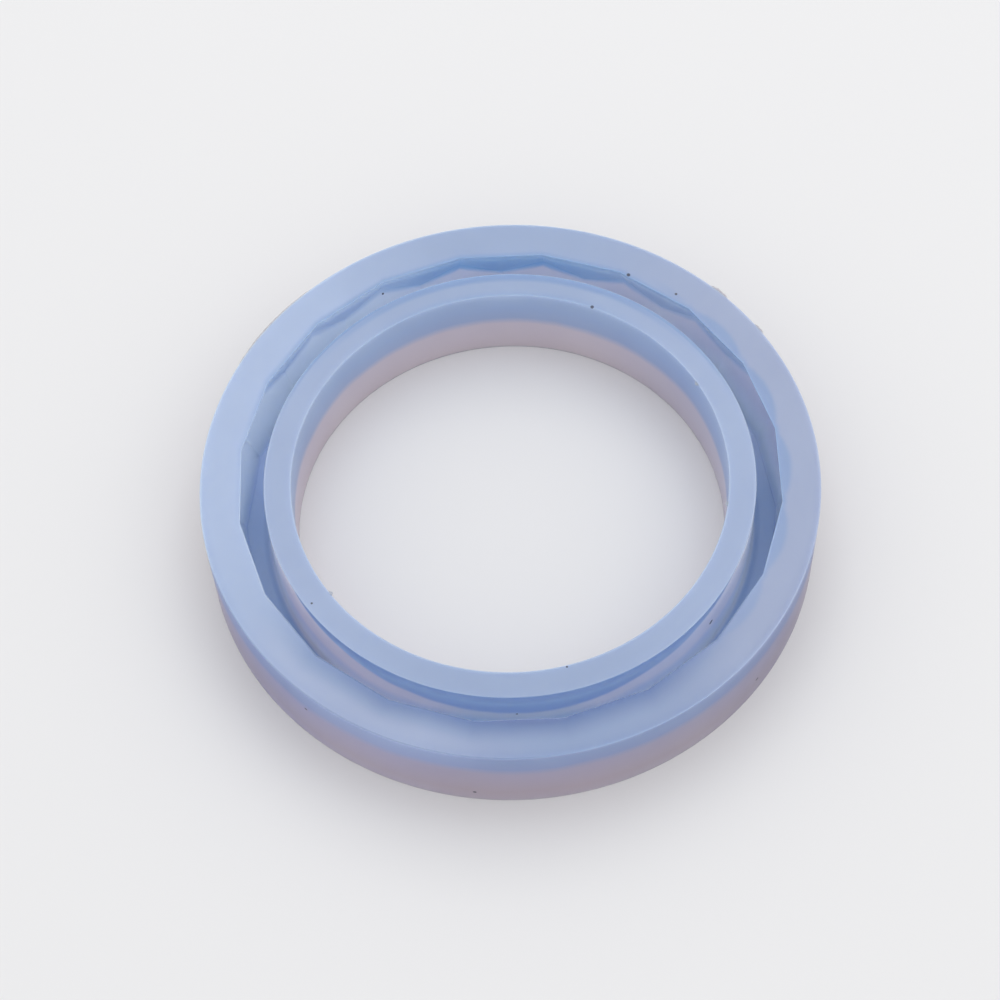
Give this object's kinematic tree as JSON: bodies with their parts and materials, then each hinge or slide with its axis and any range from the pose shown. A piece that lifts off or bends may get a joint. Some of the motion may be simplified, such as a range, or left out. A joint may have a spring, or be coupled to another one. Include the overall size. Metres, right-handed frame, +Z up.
{
  "type": "bangle resin casting mould",
  "caption": "Soft translucent silicone ring mould with a faceted, undercut channel open at the top, for casting a resin bangle round its smooth inner wall.",
  "frame": {"origin": "middle of the base, on the surface that the mould stands on", "axes": "+Z up along the axis of the hole, out of the channel's open mouth; -Y towards the picture's viewer"},
  "size_m": [0.08, 0.08, 0.0124],
  "materials": {
    "silicone": "satin, milky and translucent: bluish where light falls on it, warm where light shines through"
  },
  "bodies": {
    "root": {"outer_wall": "silicone", "channel_floor": "silicone", "inner_wall": "silicone", "rim_flash": "silicone"}
  },
  "joints": []
}
